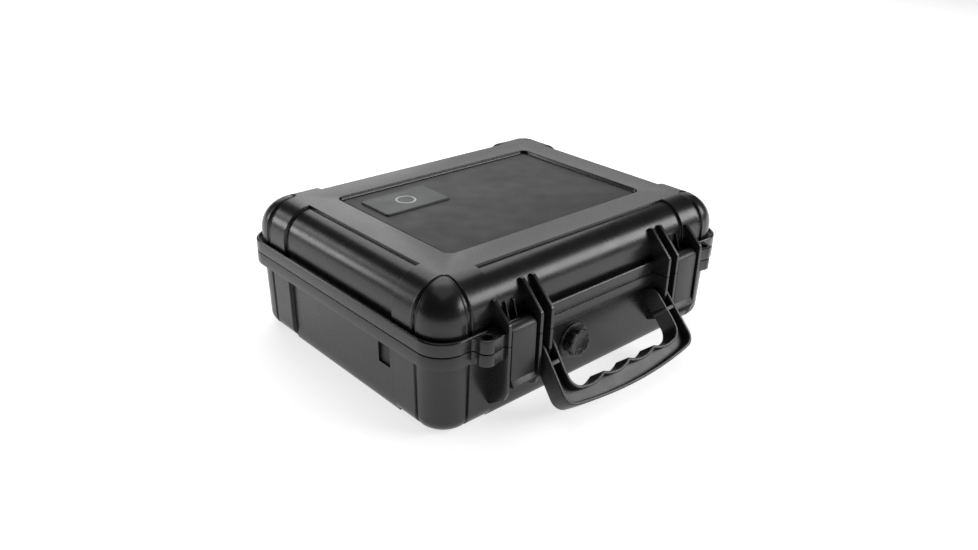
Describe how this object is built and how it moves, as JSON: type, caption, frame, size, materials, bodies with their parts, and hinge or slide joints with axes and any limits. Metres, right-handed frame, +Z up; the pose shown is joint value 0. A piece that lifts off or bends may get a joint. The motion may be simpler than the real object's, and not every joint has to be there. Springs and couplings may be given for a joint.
{
  "type": "protective battery case",
  "caption": "Hard protective case for lithium battery packs, with a hinged lid, rubber seal, latches, a folding handle, a pressure valve and foam lining.",
  "frame": {"origin": "centre of the base's flat bottom face, which is also the middle of the rim seen from above", "axes": "+X along the latch side, to the right as seen from the latch side; the latch side faces -Y; +Z up, out of the bottom face"},
  "size_m": [0.2596, 0.2487, 0.0915],
  "materials": {
    "case_plastic": "satin black moulded plastic",
    "latch_plastic": "satin black glass-filled plastic",
    "badge_plastic": "dark green-grey with a plain pale ring",
    "seal_rubber": "matte",
    "pin_steel": "plain",
    "valve_plastic": "satin",
    "membrane": "matte white",
    "foam": "open-cell foam, charcoal"
  },
  "bodies": {
    "base": {"base_shell": "case_plastic", "hinge_pin_left": "pin_steel", "hinge_pin_right": "pin_steel", "valve_body": "valve_plastic", "valve_body_seal": "seal_rubber", "valve_nut": "valve_plastic", "valve_membrane": "membrane", "base_foam_pad": "foam", "base_foam_insert": "foam"},
    "lid": {"lid_shell": "case_plastic", "lid_gasket": "seal_rubber", "badge_plate": "badge_plastic", "latch_pin_left": "pin_steel", "latch_pin_right": "pin_steel", "lid_foam": "foam"},
    "latch_left": {"latch_left": "latch_plastic"},
    "latch_right": {"latch_right": "latch_plastic"},
    "handle": {"handle": "latch_plastic", "handle_pin_left": "pin_steel", "handle_pin_right": "pin_steel"},
    "valve": {"valve_knob": "valve_plastic", "valve_knob_seal": "seal_rubber"}
  },
  "joints": [
    {"name": "lid_hinge", "type": "hinge", "parent": "base", "child": "lid", "pos_m": [0, 0.107, 0.0546], "axis": [-1, 0, 0], "range_deg": [0, 105]},
    {"name": "latch_left_pivot", "type": "hinge", "parent": "lid", "child": "latch_left", "pos_m": [-0.0748, -0.1059, 0.0609], "axis": [-1, 0, 0], "range_deg": [0, 110]},
    {"name": "latch_right_pivot", "type": "hinge", "parent": "lid", "child": "latch_right", "pos_m": [0.0748, -0.1059, 0.0609], "axis": [-1, 0, 0], "range_deg": [0, 110]},
    {"name": "handle_pivot", "type": "hinge", "parent": "base", "child": "handle", "pos_m": [0, -0.1045, 0.039], "axis": [-1, 0, 0], "range_deg": [0, 55]},
    {"name": "valve_turn", "type": "hinge", "parent": "base", "child": "valve", "pos_m": [-0.0155, -0.098, 0.0265], "axis": [0, -1, 0], "range_deg": [0, 270]}
  ]
}
